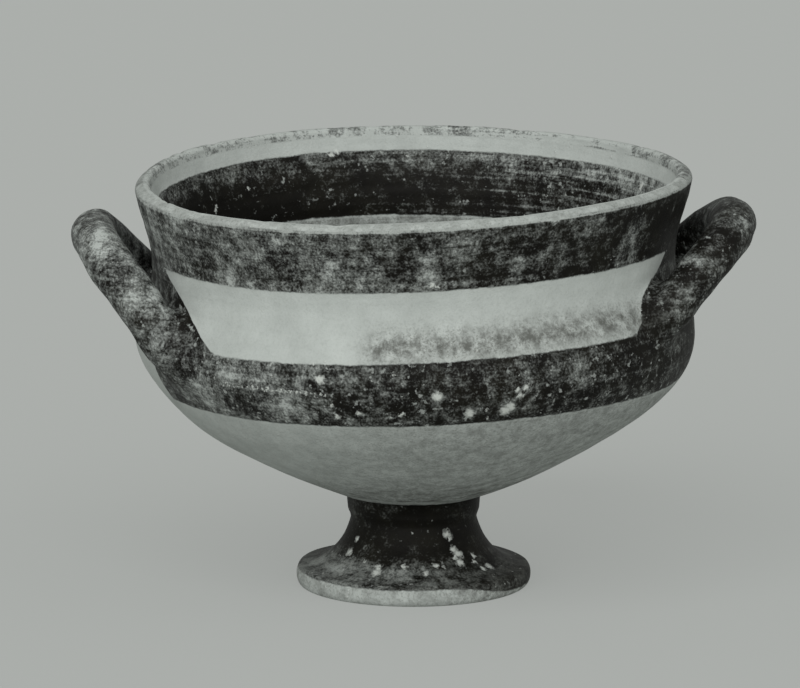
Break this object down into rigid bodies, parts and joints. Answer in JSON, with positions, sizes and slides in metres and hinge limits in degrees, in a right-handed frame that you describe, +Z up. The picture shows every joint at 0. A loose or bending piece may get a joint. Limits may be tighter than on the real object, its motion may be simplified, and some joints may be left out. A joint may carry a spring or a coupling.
{
  "type": "two-handled bowl",
  "caption": "wheel-thrown footed clay bowl with an offset lip, painted bands and two slanted loop handles",
  "frame": {"origin": "centre of the ring that the foot stands on, at its underside", "axes": "+Z up along the pot's turning axis, X through both handles, the higher side of the rim at +X"},
  "size_m": [0.2073, 0.17, 0.1289],
  "materials": {
    "painted_clay": "matt fired clay with worn dark slip bands"
  },
  "bodies": {
    "root": {"footed_bowl": "painted_clay"}
  },
  "joints": []
}
